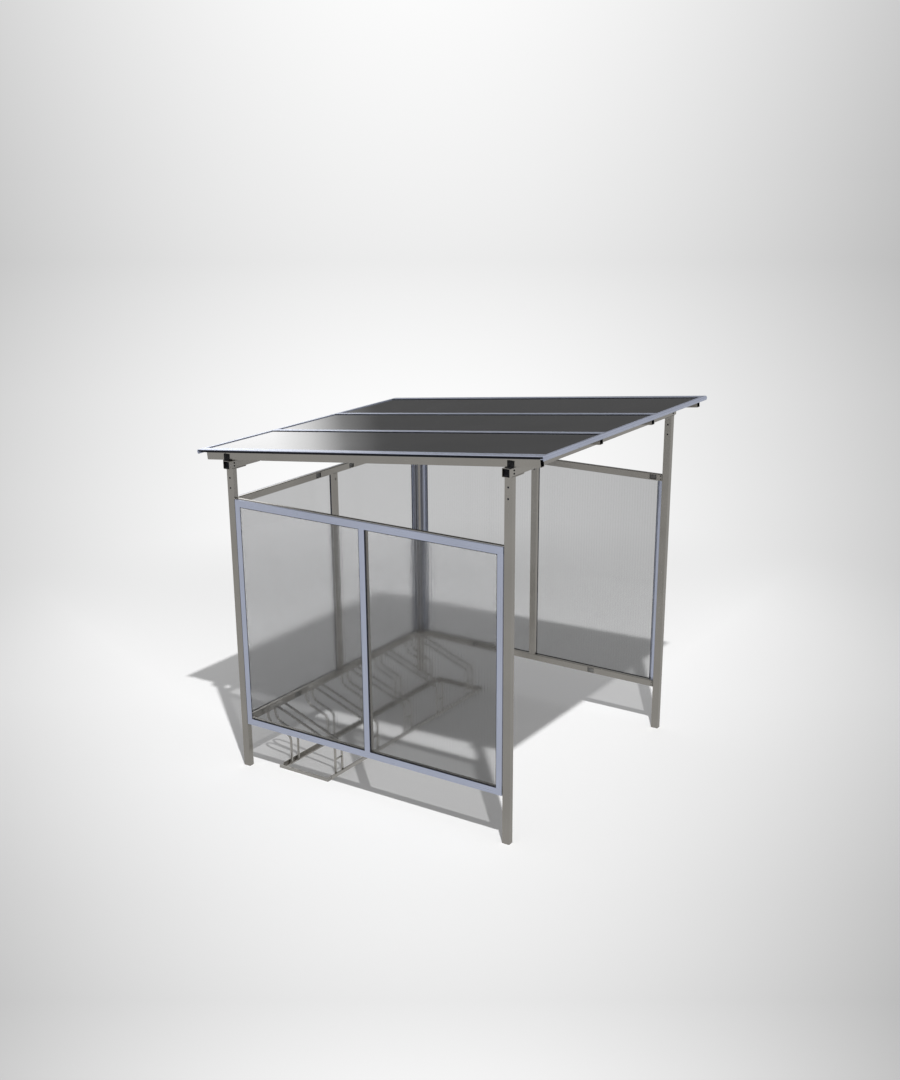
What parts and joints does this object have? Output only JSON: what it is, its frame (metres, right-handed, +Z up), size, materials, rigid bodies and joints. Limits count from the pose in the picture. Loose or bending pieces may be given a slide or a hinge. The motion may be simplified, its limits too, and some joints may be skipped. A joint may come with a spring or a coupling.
{
  "type": "bike shelter",
  "caption": "Open-fronted bike shelter: tube frame, falling smoked roof on rafters, three tinted glazed walls raised off the ground, and a wheel rack along the back.",
  "frame": {"origin": "on the ground in the middle of the shelter's box", "axes": "+X across the open front, -Y out of the open front, +Z up"},
  "size_m": [2.09, 2.47, 2.3531],
  "materials": {
    "frame_steel": "smooth bright tube with soft reflections",
    "trim_aluminium": "satin anodised, cool blue-grey",
    "wall_sheet": "tinted see-through twin-wall sheet with fine upright ribs",
    "roof_sheet": "smoked glossy sheet",
    "bracket_black": "black",
    "rack_steel": "bright steel"
  },
  "bodies": {
    "root": {"post_front_left": "frame_steel", "post_front_right": "frame_steel", "post_back_left": "frame_steel", "post_back_right": "frame_steel", "post_head_plates": "frame_steel", "front_beam": "frame_steel", "back_beam": "frame_steel", "rafter_1": "frame_steel", "rafter_2": "frame_steel", "rafter_3": "frame_steel", "rafter_4": "frame_steel", "rafter_brackets": "bracket_black", "glazing_bar_1": "trim_aluminium", "glazing_bar_2": "trim_aluminium", "glazing_bar_3": "trim_aluminium", "glazing_bar_4": "trim_aluminium", "roof_front_profile": "trim_aluminium", "roof_back_profile": "trim_aluminium", "roof_sheet_left": "roof_sheet", "roof_sheet_middle": "roof_sheet", "roof_sheet_right": "roof_sheet", "left_wall_top_rail": "frame_steel", "left_wall_bottom_rail": "frame_steel", "left_wall_mid_post": "frame_steel", "left_wall_trim_bands": "trim_aluminium", "left_wall_trim_stiles": "trim_aluminium", "left_wall_panes": "wall_sheet", "right_wall_top_rail": "frame_steel", "right_wall_bottom_rail": "frame_steel", "right_wall_mid_post": "frame_steel", "right_wall_trim_bands": "trim_aluminium", "right_wall_trim_stiles": "trim_aluminium", "right_wall_panes": "wall_sheet", "back_wall_top_rail": "frame_steel", "back_wall_bottom_rail": "frame_steel", "back_wall_mid_post": "frame_steel", "back_wall_trim_bands": "trim_aluminium", "back_wall_trim_stiles": "trim_aluminium", "back_wall_panes": "wall_sheet", "rack_rails": "rack_steel", "rack_end_bars": "rack_steel", "rack_front_legs": "rack_steel", "rack_slope_bars": "rack_steel", "rack_back_legs": "rack_steel"}
  },
  "joints": []
}
